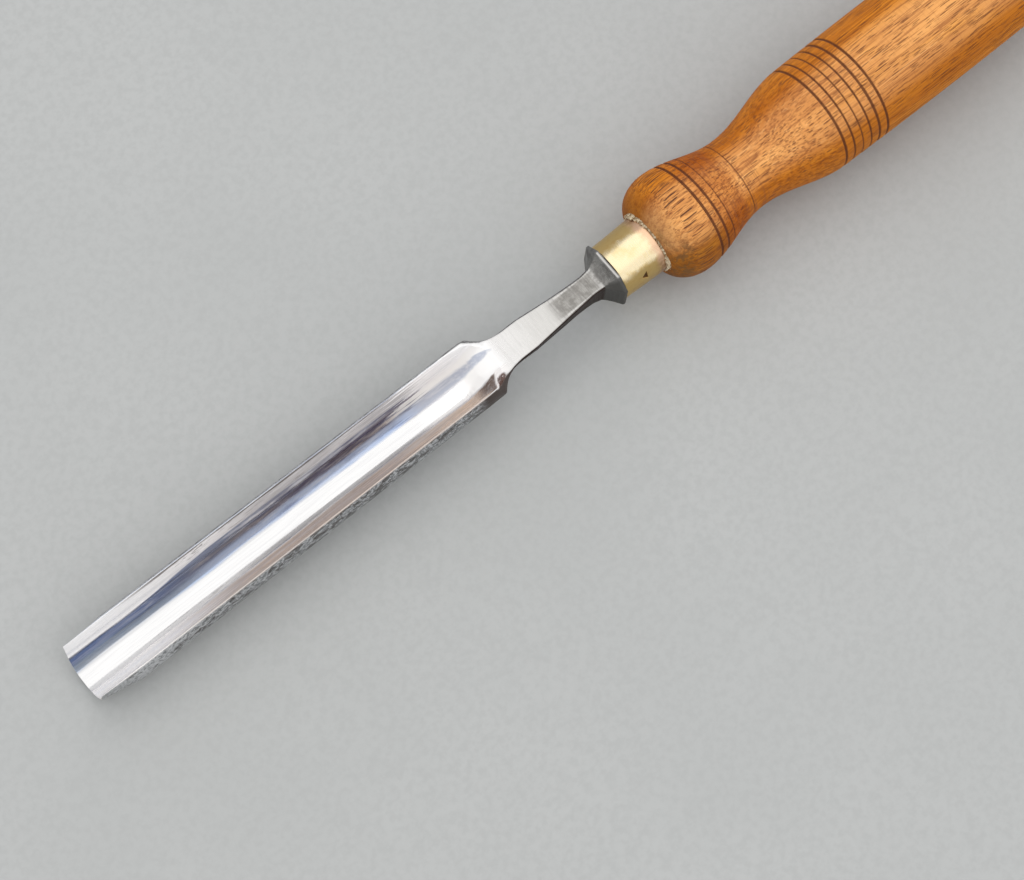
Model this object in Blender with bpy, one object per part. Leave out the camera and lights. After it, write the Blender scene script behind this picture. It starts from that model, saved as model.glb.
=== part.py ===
"""Deep carving gouge: a forged U-section blade with neck and bolster, a brass ferrule, a turned handle.

Units are metres. The tool is drawn along +X from its cutting edge to the butt of the handle, with its flute
open to +Z. It is then laid down as it rests on a flat surface: on the heel of its bevel and on the bead of
its handle.
"""
import math

import bmesh
import bpy
from mathutils import Matrix

# Clearance between pieces that touch
GAP = 0.0003

# Blade: the straight fluted length, open upwards
BLADE_LENGTH = 0.1501        # cutting edge to the start of the shoulder
EDGE_WIDTH = 0.0196          # across the rims at the cutting edge
SHOULDER_WIDTH = 0.0184      # across the rims at the shoulder
SWELL = 1.15                 # widest outside width over the width across the rims
ARC_RISE = 0.0020            # centre of the outer arc above the tool's axis
FLOOR_THICKNESS = 0.0026     # under the flute
WALL_THICKNESS = 0.0021      # at the widest level
EDGE_THICKNESS = 0.0003      # at the cutting edge, under the flute
BEVEL_LENGTH = 0.0135        # ground outside the cutting edge
NOSE_BULGE = 0.0010          # how far the middle of the edge stands before its corners

# Shoulder and neck
SHOULDER_SLOPE = 0.0080      # length over which the walls fall to the neck's top
SIDE_SETBACK = 0.0023        # how far the wall's outside runs on past the start of that slope
TAPER_LENGTH = 0.0140        # length over which the shoulder draws in to the neck
FLUTE_RUNOUT = 0.0195        # length over which the flute's floor climbs to the neck's top
NECK_LENGTH = 0.0377         # foot of the shoulder slope to the start of the flare
NECK_TOP = 0.0030            # top face above the tool's axis
NECK_BELOW = 0.0025          # underside below the axis
NECK_FRONT_WIDTH = 0.0112
NECK_BACK_WIDTH = 0.0075
NECK_LIFT = 0.0015           # rise of the top face where it meets the flare
NECK_DROP = 0.0042           # fall of the underside where it meets the flare
EDGE_BREAK = 0.0003          # broken edges along the neck

# Bolster: a flared, square flange with wide corner facets
BOLSTER_WIDTH = 0.0190
BOLSTER_FACET = 0.0038       # corner facet, as cut off each side of the square
FLARE_LENGTH = 0.0042
RIM_THICKNESS = 0.0009

# Tang: driven into the handle
TANG_LENGTH = 0.060
TANG_WIDTH = 0.0062
TANG_END_WIDTH = 0.0030
BORE_SPARE = 0.0030          # bore running on past the end of the tang

# Ferrule
FERRULE_LENGTH = 0.0159
FERRULE_FRONT_DIAMETER = 0.0187
FERRULE_BACK_DIAMETER = 0.0197
FERRULE_WALL = 0.0012        # at the front
FERRULE_EDGE = 0.00025
PUNCH_DEPTH = 0.0005         # three-cornered mark that locks the ferrule to the wood
PUNCH_WIDTH = 0.0032
PUNCH_LENGTH = 0.0022
PUNCH_SETBACK = 0.0062       # its point from the ferrule's front
PUNCH_ANGLE = math.radians(66.0)

# Handle
HANDLE_LENGTH = 0.1755
BEAD_DIAMETER = 0.0357
BEAD_CREST = 0.0109          # crest of the bead behind the front of the wood
WAIST_DIAMETER = 0.0256
WAIST_SETBACK = 0.0365
BODY_START = 0.0675
BODY_DIAMETER = 0.0370
BODY_SWELL = 0.0004          # extra radius at the middle of the body
BUTT_ROUNDING = 0.0200
BUTT_FACE_DIAMETER = 0.0180

# Grooves turned into the handle: centres measured behind the front of the wood
BEAD_GROOVE_START = 0.0156
BEAD_GROOVE_PITCH = 0.00315
BEAD_GROOVE_COUNT = 3
WAIST_LINE_SETBACK = 0.0324
RING_GROOVE_START = 0.0657
RING_GROOVE_PITCH = 0.0034
RING_GROOVE_COUNT = 6
GROOVE_WIDTH = 0.0010
GROOVE_DEPTH = 0.0004

# Points round each section: flute and outside are divided alike, so that they pair up across the wall
RISE_STEPS = 3
SIDE_STEPS = 5
CORNER_STEPS = 2
HALF_BOTTOM_STEPS = 2
HALF_STEPS = RISE_STEPS + SIDE_STEPS + CORNER_STEPS + HALF_BOTTOM_STEPS
ROUND_SEGMENTS = 48

# Stations along the tool's axis, from the cutting edge
NECK_START = BLADE_LENGTH + SHOULDER_SLOPE
FLARE_START = NECK_START + NECK_LENGTH
RIM_START = FLARE_START + FLARE_LENGTH
BOLSTER_BACK = RIM_START + RIM_THICKNESS
TANG_END = BOLSTER_BACK + TANG_LENGTH
FERRULE_START = BOLSTER_BACK + GAP
FERRULE_END = FERRULE_START + FERRULE_LENGTH
WOOD_START = FERRULE_END + GAP
BUTT = WOOD_START + HANDLE_LENGTH
FERRULE_INNER_RADIUS = FERRULE_FRONT_DIAMETER / 2 - FERRULE_WALL
SPIGOT_RADIUS = FERRULE_INNER_RADIUS - GAP


def clamp(value):
    return min(1.0, max(0.0, value))


def mix(low, high, share):
    return low + (high - low) * share


def ease(value):
    share = clamp(value)
    return share * share * (3.0 - 2.0 * share)


def rim_half_width(x):
    """Half the width across the rims of the fluted blade."""
    return mix(EDGE_WIDTH, SHOULDER_WIDTH, clamp(x / BLADE_LENGTH)) / 2


def neck_half_width(x):
    """Half the neck's width: parallel behind the shoulder, then drawn in, opening a little at the end."""
    front = NECK_START + 0.28 * NECK_LENGTH
    back = NECK_START + 0.92 * NECK_LENGTH
    share = (1.0 - clamp((x - front) / (back - front))) ** 1.3
    narrow = mix(NECK_BACK_WIDTH, NECK_FRONT_WIDTH, share) / 2
    return narrow + 0.03 * NECK_BACK_WIDTH * ease((x - back) / (FLARE_START - back))


def flare_share(x):
    return clamp((x - FLARE_START) / FLARE_LENGTH) ** 1.25


def side_half_width(x):
    """Half the widest outside width at station x."""
    if x <= BLADE_LENGTH + SIDE_SETBACK:
        return SWELL * rim_half_width(x)
    share = clamp((x - BLADE_LENGTH - SIDE_SETBACK) / (TAPER_LENGTH - SIDE_SETBACK))
    neck = neck_half_width(x)
    width = neck + (SWELL * SHOULDER_WIDTH / 2 - neck) * (1.0 - share) ** 3
    return mix(width, BOLSTER_WIDTH / 2, flare_share(x))


def land_half_width(x):
    """Half the width at the outer edge of the rims, or of the top face where there is no flute."""
    if x <= BLADE_LENGTH:
        return rim_half_width(x)
    share = clamp((x - BLADE_LENGTH) / TAPER_LENGTH)
    neck = neck_half_width(x) - EDGE_BREAK
    width = neck + (SHOULDER_WIDTH / 2 - neck) * (1.0 - share) ** 2
    return mix(width, BOLSTER_WIDTH / 2 - BOLSTER_FACET, flare_share(x))


def rim_level(x):
    """Height of the rims over the axis: where the outer arc has drawn in to the width across the rims."""
    half = rim_half_width(x)
    return ARC_RISE + half * math.sqrt(SWELL * SWELL - 1.0)


def neck_top_level(x):
    lift = NECK_LIFT * clamp((x - FLARE_START + 0.45 * NECK_LENGTH) / (0.45 * NECK_LENGTH)) ** 2
    return NECK_TOP + lift


def top_level(x):
    """Height of the rims, of the sloping ends of the walls, of the neck's top face and of the flare."""
    if x <= BLADE_LENGTH:
        return rim_level(x)
    share = clamp((x - BLADE_LENGTH) / SHOULDER_SLOPE)
    level = mix(rim_level(BLADE_LENGTH), neck_top_level(x), share)
    return mix(level, BOLSTER_WIDTH / 2, flare_share(x))


def bottom_level(x):
    """Height of the underside: the blade's keel, climbing to the neck and falling again to the bolster."""
    keel = ARC_RISE - SWELL * rim_half_width(x)
    climb = ease((x - BLADE_LENGTH + 0.010) / (0.010 + SHOULDER_SLOPE + 0.4 * NECK_LENGTH))
    level = mix(keel, -NECK_BELOW, climb)
    level -= NECK_DROP * clamp((x - FLARE_START + 0.42 * NECK_LENGTH) / (0.42 * NECK_LENGTH)) ** 2.2
    return mix(level, -BOLSTER_WIDTH / 2, flare_share(x))


def flute_half_width(x):
    """Half the flute's width at its rims: parallel, then drawn in to a point on the shoulder slope."""
    inner = SWELL * rim_half_width(x) - WALL_THICKNESS
    inner = min(inner, rim_half_width(x) - 0.0005)
    start = BLADE_LENGTH - 0.0035
    share = clamp((x - start) / (NECK_START - start))
    if x <= start:
        return inner
    if x < NECK_START:
        return max(inner * math.sqrt(1.0 - share) * (1.0 - 0.25 * share), 0.0004)
    return mix(0.0004, 0.9 * land_half_width(x), clamp((x - NECK_START) / 0.002))


def flute_floor_level(x):
    """Height of the flute's floor, climbing to the top face at the foot of the shoulder slope."""
    floor = ARC_RISE - SWELL * rim_half_width(x) + FLOOR_THICKNESS
    start = NECK_START - FLUTE_RUNOUT
    share = clamp((x - start) / FLUTE_RUNOUT) ** 2
    return mix(floor, top_level(x), share)


def flute_points(x):
    """Half of the flute's section, from its left rim to the middle of its floor, as (y, z) pairs."""
    half = flute_half_width(x)
    top = top_level(x)
    depth = top - flute_floor_level(x)
    wall_share = (rim_level(0.0) - ARC_RISE) / (rim_level(0.0) - flute_floor_level(0.0))
    shallow = ease((x - NECK_START + FLUTE_RUNOUT) / FLUTE_RUNOUT)
    points = []
    for step in range(HALF_STEPS + 1):
        if step <= RISE_STEPS:
            deep_y = half
            deep_z = top - depth * wall_share * step / RISE_STEPS
        else:
            turn = math.pi / 2 * (step - RISE_STEPS) / (HALF_STEPS - RISE_STEPS)
            deep_y = half * math.cos(turn)
            deep_z = top - depth * (wall_share + (1.0 - wall_share) * math.sin(turn))
        swing = math.pi / 2 * step / HALF_STEPS
        dish_y = half * math.cos(swing)
        dish_z = top - depth * math.sin(swing)
        points.append((mix(deep_y, dish_y, shallow), mix(deep_z, dish_z, shallow)))
    return points


def round_points(x):
    """Half of the blade's rounded outside, from the outer edge of the left rim to the middle of the keel."""
    land = land_half_width(x)
    side = side_half_width(x)
    top = top_level(x)
    bottom = bottom_level(x)
    lean = math.acos(1.0 / SWELL)
    points = []
    for step in range(HALF_STEPS + 1):
        if step <= RISE_STEPS:
            turn = lean * (1.0 - step / RISE_STEPS)
            bulge = (math.cos(turn) - math.cos(lean)) / (1.0 - math.cos(lean))
            points.append((mix(land, side, bulge), mix(ARC_RISE, top, math.sin(turn) / math.sin(lean))))
        else:
            turn = math.pi / 2 * (step - RISE_STEPS) / (HALF_STEPS - RISE_STEPS)
            points.append((side * math.cos(turn), mix(ARC_RISE, bottom, math.sin(turn))))
    return points


def along(start, end, steps):
    """The points after start, up to and including end, on a straight line of so many steps."""
    shares = [(k + 1) / steps for k in range(steps)]
    return [tuple(mix(a, b, share) for a, b in zip(start, end)) for share in shares]


def faceted_points(land, side, top, bottom, lower):
    """Half of an eight-sided outside: top face, upper corner, upright side, lower corner, flat base."""
    drop = max(side - land, EDGE_BREAK)
    points = [(land, top)]
    points += along(points[-1], (side, top - drop), RISE_STEPS)
    points += along(points[-1], (side, bottom + lower), SIDE_STEPS)
    points += along(points[-1], (side - lower, bottom), CORNER_STEPS)
    points += along(points[-1], (0.0, bottom), HALF_BOTTOM_STEPS)
    return points


def outside_points(x):
    """Half of the outside at station x: rounded along the blade, faceted along the neck and the bolster."""
    lower = mix(0.30 * NECK_BACK_WIDTH / 2, BOLSTER_FACET, flare_share(x))
    land = land_half_width(x)
    side = side_half_width(x)
    faceted = faceted_points(land, side, top_level(x), bottom_level(x), lower)
    share = ease((x - BLADE_LENGTH) / (SHOULDER_SLOPE + 0.35 * NECK_LENGTH))
    return [(mix(a[0], b[0], share), mix(a[1], b[1], share)) for a, b in zip(round_points(x), faceted)]


def ring_of(x, inside, outside, offset):
    """Closes two half sections into one ring at station x; offset(y) moves points along the axis."""
    half = [(y, z) for y, z in inside] + [(-y, z) for y, z in reversed(inside[:-1])]
    skin = [(-y, z) for y, z in outside] + [(y, z) for y, z in reversed(outside[:-1])]
    return [(x + offset(y), y, z) for y, z in half + skin]


def blade_rings():
    """Every ring of the forged piece, from the cutting edge to the end of the tang."""
    def straight(y):
        return 0.0

    def nose(y):
        return NOSE_BULGE * abs(y / (EDGE_WIDTH / 2)) ** 3

    thin = EDGE_THICKNESS / FLOOR_THICKNESS
    inside = flute_points(0.0)
    outside = [(mix(a[0], b[0], thin), mix(a[1], b[1], thin)) for a, b in zip(inside, outside_points(0.0))]
    rings = [ring_of(0.0, inside, outside, nose)]
    runout = NECK_START - FLUTE_RUNOUT
    stations = [BEVEL_LENGTH, 0.30 * runout, 0.55 * runout, 0.80 * runout]
    stations += [mix(runout, BLADE_LENGTH, k / 5) for k in range(6)]
    stations += [mix(BLADE_LENGTH, NECK_START, k / 8) for k in range(1, 9)]
    stations += [NECK_START + 0.002]
    neck_shares = (0.16, 0.28, 0.42, 0.56, 0.68, 0.78, 0.86, 0.93, 1.0)
    stations += [mix(NECK_START, FLARE_START, share) for share in neck_shares]
    stations += [mix(FLARE_START, RIM_START, share) for share in (0.15, 0.35, 0.6, 0.8, 1.0)]
    stations += [BOLSTER_BACK]
    for x in stations:
        rings.append(ring_of(x, flute_points(x), outside_points(x), straight))
    for x, width in ((BOLSTER_BACK, TANG_WIDTH), (TANG_END, TANG_END_WIDTH)):
        half = width / 2
        top = [(0.9 * half * (1.0 - k / HALF_STEPS), half) for k in range(HALF_STEPS + 1)]
        rings.append(ring_of(x, top, faceted_points(0.95 * half, half, half, -half, 0.05 * width), straight))
    return rings


def new_object(name, bm, smooth_angle):
    """Makes a named object of a finished bmesh, with outward faces and smooth shading up to an angle."""
    bmesh.ops.recalc_face_normals(bm, faces=bm.faces)
    mesh = bpy.data.meshes.new(name)
    bm.to_mesh(mesh)
    bm.free()
    mesh.shade_smooth()
    mesh.set_sharp_from_angle(angle=math.radians(smooth_angle))
    piece = bpy.data.objects.new(name, mesh)
    bpy.context.scene.collection.objects.link(piece)
    return piece


def build_blade():
    """The forged piece: fluted blade, shoulder, neck, bolster and tang in one."""
    bm = bmesh.new()
    rings = [[bm.verts.new(point) for point in ring] for ring in blade_rings()]
    count = len(rings[0])
    for near, far in zip(rings, rings[1:]):
        for k in range(count):
            n = (k + 1) % count
            bm.faces.new((near[k], near[n], far[n], far[k]))
    edge = rings[0]
    for k in range(2 * HALF_STEPS):
        facing = count - 1 - k
        bm.faces.new((edge[k], edge[k + 1], edge[facing - 1], edge[facing]))
    bm.faces.new(rings[-1])
    return new_object("blade", bm, 24.0)


def revolve(name, profile, closed, smooth_angle):
    """Turns an (x, radius) outline about the tool's axis, with one row of points straight below the axis.

    A closed outline makes a ring; an open one is closed by a flat face at each of its ends.
    """
    bm = bmesh.new()
    rows = []
    for segment in range(ROUND_SEGMENTS):
        turn = 2.0 * math.pi * segment / ROUND_SEGMENTS
        rows.append([bm.verts.new((x, r * math.sin(turn), -r * math.cos(turn))) for x, r in profile])
    spans = len(profile) if closed else len(profile) - 1
    for segment in range(ROUND_SEGMENTS):
        near = rows[segment]
        far = rows[(segment + 1) % ROUND_SEGMENTS]
        for k in range(spans):
            n = (k + 1) % len(profile)
            bm.faces.new((near[k], near[n], far[n], far[k]))
    if not closed:
        bm.faces.new([row[0] for row in rows])
        bm.faces.new([row[-1] for row in rows])
    return new_object(name, bm, smooth_angle)


def build_ferrule():
    """The brass ring: a slightly tapered tube with broken edges and a three-cornered punch mark."""
    front = FERRULE_FRONT_DIAMETER / 2
    back = FERRULE_BACK_DIAMETER / 2
    profile = [
        (FERRULE_START, FERRULE_INNER_RADIUS),
        (FERRULE_START, front - FERRULE_EDGE),
        (FERRULE_START + FERRULE_EDGE, front),
        (mix(FERRULE_START, FERRULE_END, 0.35), mix(front, back, 0.30)),
        (mix(FERRULE_START, FERRULE_END, 0.70), mix(front, back, 0.66)),
        (FERRULE_END - FERRULE_EDGE, back),
        (FERRULE_END, back - FERRULE_EDGE),
        (FERRULE_END, FERRULE_INNER_RADIUS),
    ]
    ferrule = revolve("ferrule", profile, True, 30.0)
    cut_punch_mark(ferrule, front, back)
    return ferrule


def cut_punch_mark(ferrule, front, back):
    """Cuts the punch mark with a three-cornered, slightly tapering cutter set square to the surface."""
    point_x = FERRULE_START + PUNCH_SETBACK
    radius = mix(front, back, (PUNCH_SETBACK + PUNCH_LENGTH) / FERRULE_LENGTH)
    corners = ((0.0, 0.0), (PUNCH_LENGTH, PUNCH_WIDTH / 2), (PUNCH_LENGTH, -PUNCH_WIDTH / 2))
    middle = (2.0 * PUNCH_LENGTH / 3.0, 0.0)
    bm = bmesh.new()
    layers = []
    for reach, spread in ((-PUNCH_DEPTH, 0.8), (PUNCH_DEPTH, 1.1)):
        layer = []
        for dx, dy in corners:
            across = middle[1] + (dy - middle[1]) * spread
            x = point_x + middle[0] + (dx - middle[0]) * spread
            y = across * math.cos(PUNCH_ANGLE) - (radius + reach) * math.sin(PUNCH_ANGLE)
            z = across * math.sin(PUNCH_ANGLE) + (radius + reach) * math.cos(PUNCH_ANGLE)
            layer.append(bm.verts.new((x, y, z)))
        layers.append(layer)
    low, high = layers
    bm.faces.new(low)
    bm.faces.new(high)
    for k in range(3):
        n = (k + 1) % 3
        bm.faces.new((low[k], low[n], high[n], high[k]))
    cutter = new_object("punch_cutter", bm, 20.0)
    cutter.hide_render = True
    cutter.display_type = "WIRE"
    cut = ferrule.modifiers.new("punch_mark", "BOOLEAN")
    cut.operation = "DIFFERENCE"
    cut.solver = "EXACT"
    cut.object = cutter


def wave(start, end, share):
    """Half a cosine wave from start to end."""
    return mix(start, end, (1.0 - math.cos(math.pi * share)) / 2)


def handle_radius(x):
    """Radius of the turned wood at station x, without its grooves."""
    crest = WOOD_START + BEAD_CREST
    waist = WOOD_START + WAIST_SETBACK
    body = WOOD_START + BODY_START
    butt_start = BUTT - BUTT_ROUNDING
    if x < crest:
        lip = FERRULE_BACK_DIAMETER / 2 + GAP
        share = clamp((crest - x) / BEAD_CREST)
        return lip + (BEAD_DIAMETER / 2 - lip) * math.sqrt(1.0 - share * share)
    if x < waist:
        return wave(BEAD_DIAMETER, WAIST_DIAMETER, (x - crest) / (waist - crest)) / 2
    if x < body:
        return wave(WAIST_DIAMETER, BODY_DIAMETER, (x - waist) / (body - waist)) / 2
    if x < butt_start:
        return BODY_DIAMETER / 2 + BODY_SWELL * math.sin(math.pi * (x - body) / (butt_start - body))
    share = clamp((x - butt_start) / BUTT_ROUNDING)
    return mix(BUTT_FACE_DIAMETER / 2, BODY_DIAMETER / 2, math.sqrt(1.0 - share * share))


def groove_stations():
    """Centre, width and depth of every groove, from the bead to the body."""
    grooves = []
    for k in range(BEAD_GROOVE_COUNT):
        strength = 1.0 if k < BEAD_GROOVE_COUNT - 1 else 0.6
        centre = WOOD_START + BEAD_GROOVE_START + k * BEAD_GROOVE_PITCH
        grooves.append((centre, GROOVE_WIDTH * strength, GROOVE_DEPTH * strength))
    grooves.append((WOOD_START + WAIST_LINE_SETBACK, 0.6 * GROOVE_WIDTH, 0.6 * GROOVE_DEPTH))
    for k in range(RING_GROOVE_COUNT):
        grooves.append((WOOD_START + RING_GROOVE_START + k * RING_GROOVE_PITCH, GROOVE_WIDTH, GROOVE_DEPTH))
    return grooves


def build_handle():
    """The turned wood: spigot, bead, waist, grooved body and rounded butt, bored for the tang."""
    crest = WOOD_START + BEAD_CREST
    waist = WOOD_START + WAIST_SETBACK
    body = WOOD_START + BODY_START
    butt_start = BUTT - BUTT_ROUNDING
    grooves = groove_stations()
    smooth = [crest - BEAD_CREST * math.cos(math.pi / 2 * k / 6) for k in range(7)]
    smooth += [mix(crest, waist, k / 8) for k in range(1, 9)]
    smooth += [mix(waist, body, k / 9) for k in range(1, 10)]
    smooth += [mix(body, butt_start, k / 7) for k in range(1, 8)]
    smooth += [butt_start + BUTT_ROUNDING * math.sin(math.pi / 2 * k / 7) for k in range(1, 8)]
    outline = []
    for x in smooth:
        if all(abs(x - centre) > 0.9 * width for centre, width, depth in grooves):
            outline.append((x, handle_radius(x)))
    for centre, width, depth in grooves:
        for across, down in ((-0.5, 0.0), (-0.2, 0.85), (0.2, 0.85), (0.5, 0.0)):
            x = centre + across * width
            outline.append((x, handle_radius(x) - down * depth))
    outline.sort()
    corner = math.sqrt(2.0) / 2
    bore = [
        (TANG_END + BORE_SPARE, TANG_END_WIDTH * corner + 1.2 * GAP),
        (FERRULE_START, TANG_WIDTH * corner + 1.2 * GAP),
    ]
    spigot = [(FERRULE_START, SPIGOT_RADIUS), (WOOD_START, SPIGOT_RADIUS)]
    return revolve("handle", bore + spigot + outline, False, 30.0)


def give_material(piece, name, colour, metallic, roughness):
    material = bpy.data.materials.new(name)
    material.use_nodes = True
    shader = material.node_tree.nodes["Principled BSDF"]
    shader.inputs["Base Color"].default_value = (*colour, 1.0)
    shader.inputs["Metallic"].default_value = metallic
    shader.inputs["Roughness"].default_value = roughness
    piece.data.materials.append(material)


def lay_down(pieces, blade, handle):
    """Turns the tool until its bevel's heel and its handle lie on the plane z = 0, centred on the origin."""
    heel = bottom_level(BEVEL_LENGTH)
    lean = max(math.atan2(heel - v.co.z, v.co.x - BEVEL_LENGTH) for v in handle.data.vertices)
    turn = Matrix.Rotation(-lean, 4, "Y")
    for piece in pieces:
        piece.data.transform(turn)
    corners = [v.co for piece in (blade, handle) for v in piece.data.vertices]
    low_x = min(co.x for co in corners)
    high_x = max(co.x for co in corners)
    low_z = min(co.z for co in corners)
    shift = Matrix.Translation((-(low_x + high_x) / 2, 0.0, -low_z))
    for piece in pieces:
        piece.data.transform(shift)
        piece.data.update()


def main():
    for item in list(bpy.data.objects):
        bpy.data.objects.remove(item, do_unlink=True)
    blade = build_blade()
    ferrule = build_ferrule()
    handle = build_handle()
    give_material(blade, "polished_steel", (0.62, 0.62, 0.63), 1.0, 0.22)
    give_material(ferrule, "brass", (0.78, 0.60, 0.27), 1.0, 0.28)
    give_material(handle, "varnished_wood", (0.42, 0.17, 0.05), 0.0, 0.35)
    lay_down([item for item in bpy.data.objects if item.type == "MESH"], blade, handle)


main()
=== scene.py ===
"""Looks of the deep carving gouge: detailed surfaces, finishes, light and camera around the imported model.

Units are metres. Pieces are shaped in the tool's own frame, which runs along +X from the cutting edge to the
butt with the flute open to +Z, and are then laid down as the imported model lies.
"""

import math

import bpy
import numpy as np
from mathutils import Matrix, Vector, noise


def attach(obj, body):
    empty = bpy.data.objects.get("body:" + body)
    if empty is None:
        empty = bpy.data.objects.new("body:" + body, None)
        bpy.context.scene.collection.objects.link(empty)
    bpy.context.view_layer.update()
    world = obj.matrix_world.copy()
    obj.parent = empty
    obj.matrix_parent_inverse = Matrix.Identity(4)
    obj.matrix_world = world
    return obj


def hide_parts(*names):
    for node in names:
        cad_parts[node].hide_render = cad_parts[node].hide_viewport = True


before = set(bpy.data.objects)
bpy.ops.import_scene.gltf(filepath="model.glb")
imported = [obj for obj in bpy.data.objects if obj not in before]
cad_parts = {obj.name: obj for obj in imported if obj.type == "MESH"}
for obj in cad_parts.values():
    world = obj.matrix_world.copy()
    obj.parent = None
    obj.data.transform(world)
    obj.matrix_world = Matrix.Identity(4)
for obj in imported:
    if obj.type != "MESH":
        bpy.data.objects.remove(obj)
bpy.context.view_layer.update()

# How the tool lies: turned about Y, then moved
LEAN = 0.04021109753384965
SHIFT = Vector((-0.196606, 0.0, 0.008658))
TO_WORLD = Matrix.Translation(SHIFT) @ Matrix.Rotation(-LEAN, 4, "Y")

# Blade, as in the part's source
GAP = 0.0003
BLADE_LENGTH = 0.1501
EDGE_WIDTH = 0.0196
SHOULDER_WIDTH = 0.0184
SWELL = 1.15
ARC_RISE = 0.0020
FLOOR_THICKNESS = 0.0026
EDGE_THICKNESS = 0.0003
TIP_INSET = 0.000003
BEVEL_LENGTH = 0.0135
NOSE_BULGE = 0.0010
SHOULDER_SLOPE = 0.0080
SIDE_SETBACK = 0.0023
TAPER_LENGTH = 0.0140
FLUTE_FLARE = 0.0010
FLUTE_RUNOUT = 0.0138
FLUTE_END = 0.1562
LAND_WIDTH = 0.0004
# The running out flute steps in from the land here, then widens again
STEP_START = 0.1515
STEP_WIDTH = 0.0013
WIDEN_START = 0.1540
NECK_LENGTH = 0.0377
NECK_TOP = 0.0030
NECK_BELOW = 0.0025
NECK_FRONT_WIDTH = 0.0112
NECK_BACK_WIDTH = 0.0075
NECK_LIFT = 0.0015
NECK_DROP = 0.0042
EDGE_BREAK = 0.0003
BOLSTER_WIDTH = 0.0190
BOLSTER_FACET = 0.0042
FLARE_LENGTH = 0.0042
RIM_THICKNESS = 0.0009
TANG_LENGTH = 0.060
TANG_WIDTH = 0.0062
TANG_END_WIDTH = 0.0030

# Ferrule
FERRULE_LENGTH = 0.0159
FERRULE_FRONT_DIAMETER = 0.0187
FERRULE_BACK_DIAMETER = 0.0197
FERRULE_WALL = 0.0012
PUNCH_DEPTH = 0.0005
PUNCH_WIDTH = 0.0032
PUNCH_LENGTH = 0.0022
PUNCH_SETBACK = 0.0062
PUNCH_ANGLE = math.radians(66.0)

# Handle
HANDLE_LENGTH = 0.1755
BEAD_DIAMETER = 0.0357
BEAD_CREST = 0.0109
WAIST_DIAMETER = 0.0256
WAIST_SETBACK = 0.0365
BODY_START = 0.0675
BODY_DIAMETER = 0.0370
BODY_SWELL = 0.0004
BUTT_ROUNDING = 0.0200
BUTT_FACE_DIAMETER = 0.0180
VARNISH_INSET = 0.00001

# Stations along the tool's axis
NECK_START = BLADE_LENGTH + SHOULDER_SLOPE
FLARE_START = NECK_START + NECK_LENGTH
RIM_START = FLARE_START + FLARE_LENGTH
BOLSTER_BACK = RIM_START + RIM_THICKNESS
TANG_END = BOLSTER_BACK + TANG_LENGTH
FERRULE_START = BOLSTER_BACK + GAP
FERRULE_END = FERRULE_START + FERRULE_LENGTH
WOOD_START = FERRULE_END + GAP
BUTT = WOOD_START + HANDLE_LENGTH
FERRULE_INNER_RADIUS = FERRULE_FRONT_DIAMETER / 2 - FERRULE_WALL
SPIGOT_RADIUS = FERRULE_INNER_RADIUS - GAP

# Grooves of the handle: (distance behind the front of the wood, width, depth)
GROOVES = (
    (0.01560, 0.00145, 0.00046),
    (0.01875, 0.00140, 0.00042),
    (0.02190, 0.00090, 0.00022),
    (0.02480, 0.00070, 0.00010),
    (0.03240, 0.00085, 0.00020),
    (0.06570, 0.00140, 0.00040),
    (0.06910, 0.00120, 0.00030),
    (0.07250, 0.00110, 0.00024),
    (0.07590, 0.00120, 0.00030),
    (0.07930, 0.00150, 0.00040),
    (0.08270, 0.00140, 0.00042),
)

# The blade's waves, and how far behind the edge and before the bolster's back they keep
WAVE_DEPTH_INSIDE = 0.000045
WAVE_DEPTH_OUTSIDE = 0.000055
CALM_FRONT = 0.004
CALM_BACK = 0.002
# A groove as dark as it gets, and the stations across one, in its widths
GROOVE_DEPTH_MARKED = 0.0004
SECTION_OF_GROOVE = (-0.60, -0.50, -0.38, -0.25, -0.12, 0.0, 0.12, 0.25, 0.38, 0.50, 0.60)

# Points round half a blade section
RISE_STEPS = 10
SIDE_STEPS = 20
CORNER_STEPS = 7
HALF_BOTTOM_STEPS = 6
HALF_STEPS = RISE_STEPS + SIDE_STEPS + CORNER_STEPS + HALF_BOTTOM_STEPS


def clamp(value):
    return min(1.0, max(0.0, value))


def mix(low, high, share):
    return low + (high - low) * share


def ease(value):
    share = clamp(value)
    return share * share * (3.0 - 2.0 * share)


def bump_at(value, middle, width):
    """A smooth hill of height 1 round middle."""
    return math.exp(-((value - middle) / width) ** 2)


def rim_half_width(x):
    return mix(EDGE_WIDTH, SHOULDER_WIDTH, clamp(x / BLADE_LENGTH)) / 2


def neck_half_width(x):
    front = NECK_START + 0.28 * NECK_LENGTH
    back = NECK_START + 0.92 * NECK_LENGTH
    share = (1.0 - clamp((x - front) / (back - front))) ** 1.3
    narrow = mix(NECK_BACK_WIDTH, NECK_FRONT_WIDTH, share) / 2
    return narrow + 0.03 * NECK_BACK_WIDTH * ease((x - back) / (FLARE_START - back))


def flare_share(x):
    return clamp((x - FLARE_START) / FLARE_LENGTH) ** 1.25


def side_half_width(x):
    if x <= BLADE_LENGTH + SIDE_SETBACK:
        return SWELL * rim_half_width(x)
    share = clamp((x - BLADE_LENGTH - SIDE_SETBACK) / (TAPER_LENGTH - SIDE_SETBACK))
    neck = neck_half_width(x)
    width = neck + (SWELL * SHOULDER_WIDTH / 2 - neck) * (1.0 - share) ** 3
    return mix(width, BOLSTER_WIDTH / 2, flare_share(x))


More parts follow.
